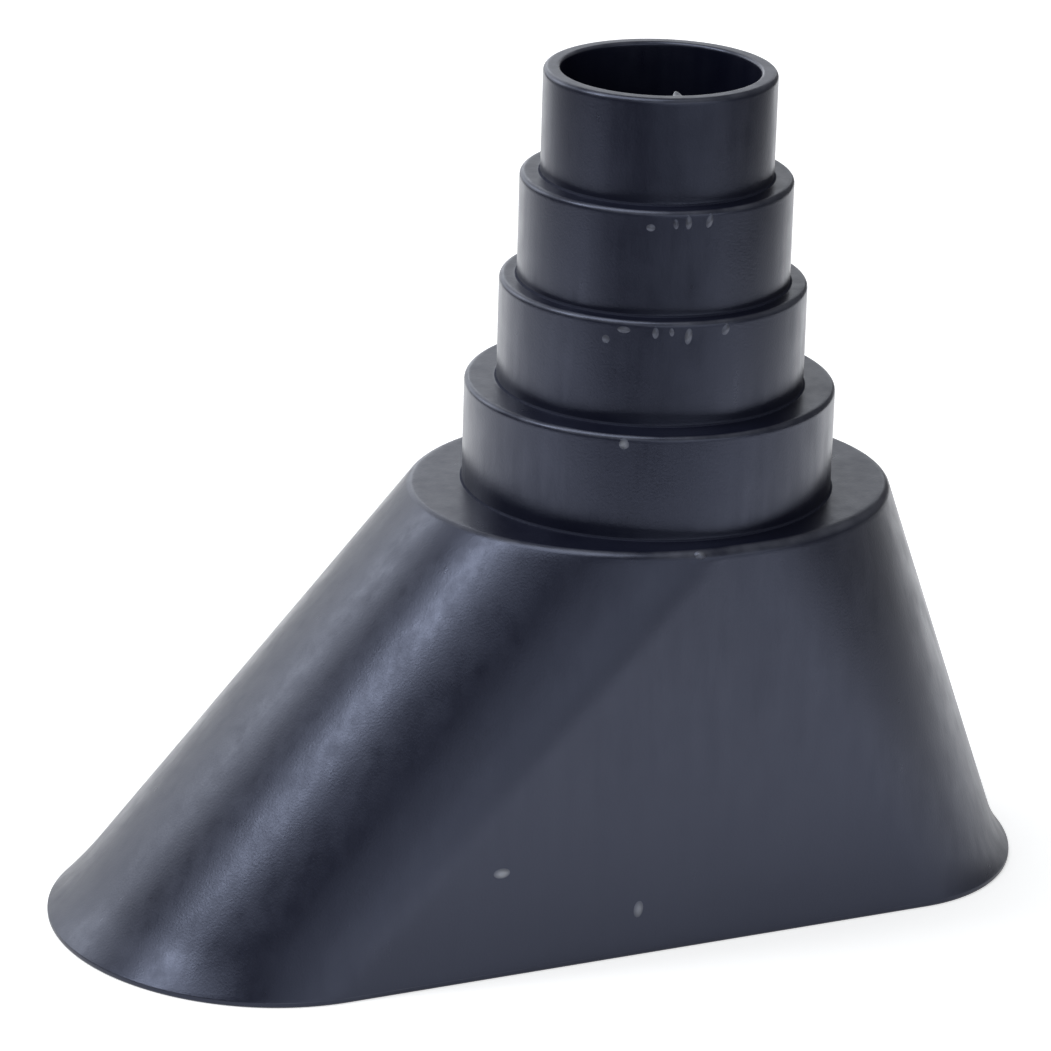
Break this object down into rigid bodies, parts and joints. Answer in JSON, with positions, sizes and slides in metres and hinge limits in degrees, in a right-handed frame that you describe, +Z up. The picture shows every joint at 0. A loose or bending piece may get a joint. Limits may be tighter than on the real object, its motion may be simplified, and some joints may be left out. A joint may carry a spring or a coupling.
{
  "type": "mast rubber collar",
  "caption": "One-piece black rubber collar with a stepped round neck on a hollow, skewed oval skirt, pulled over a roof mast to seal its lead-through.",
  "frame": {"origin": "middle of the base outline, on the plane of the base rim", "axes": "+Z up along the mast axis, +X along the base from the long slope to the steep end, +Y across"},
  "size_m": [0.1828, 0.0812, 0.1492],
  "materials": {
    "moulded_rubber": "satin as moulded"
  },
  "bodies": {
    "root": {"mast_collar": "moulded_rubber"}
  },
  "joints": []
}
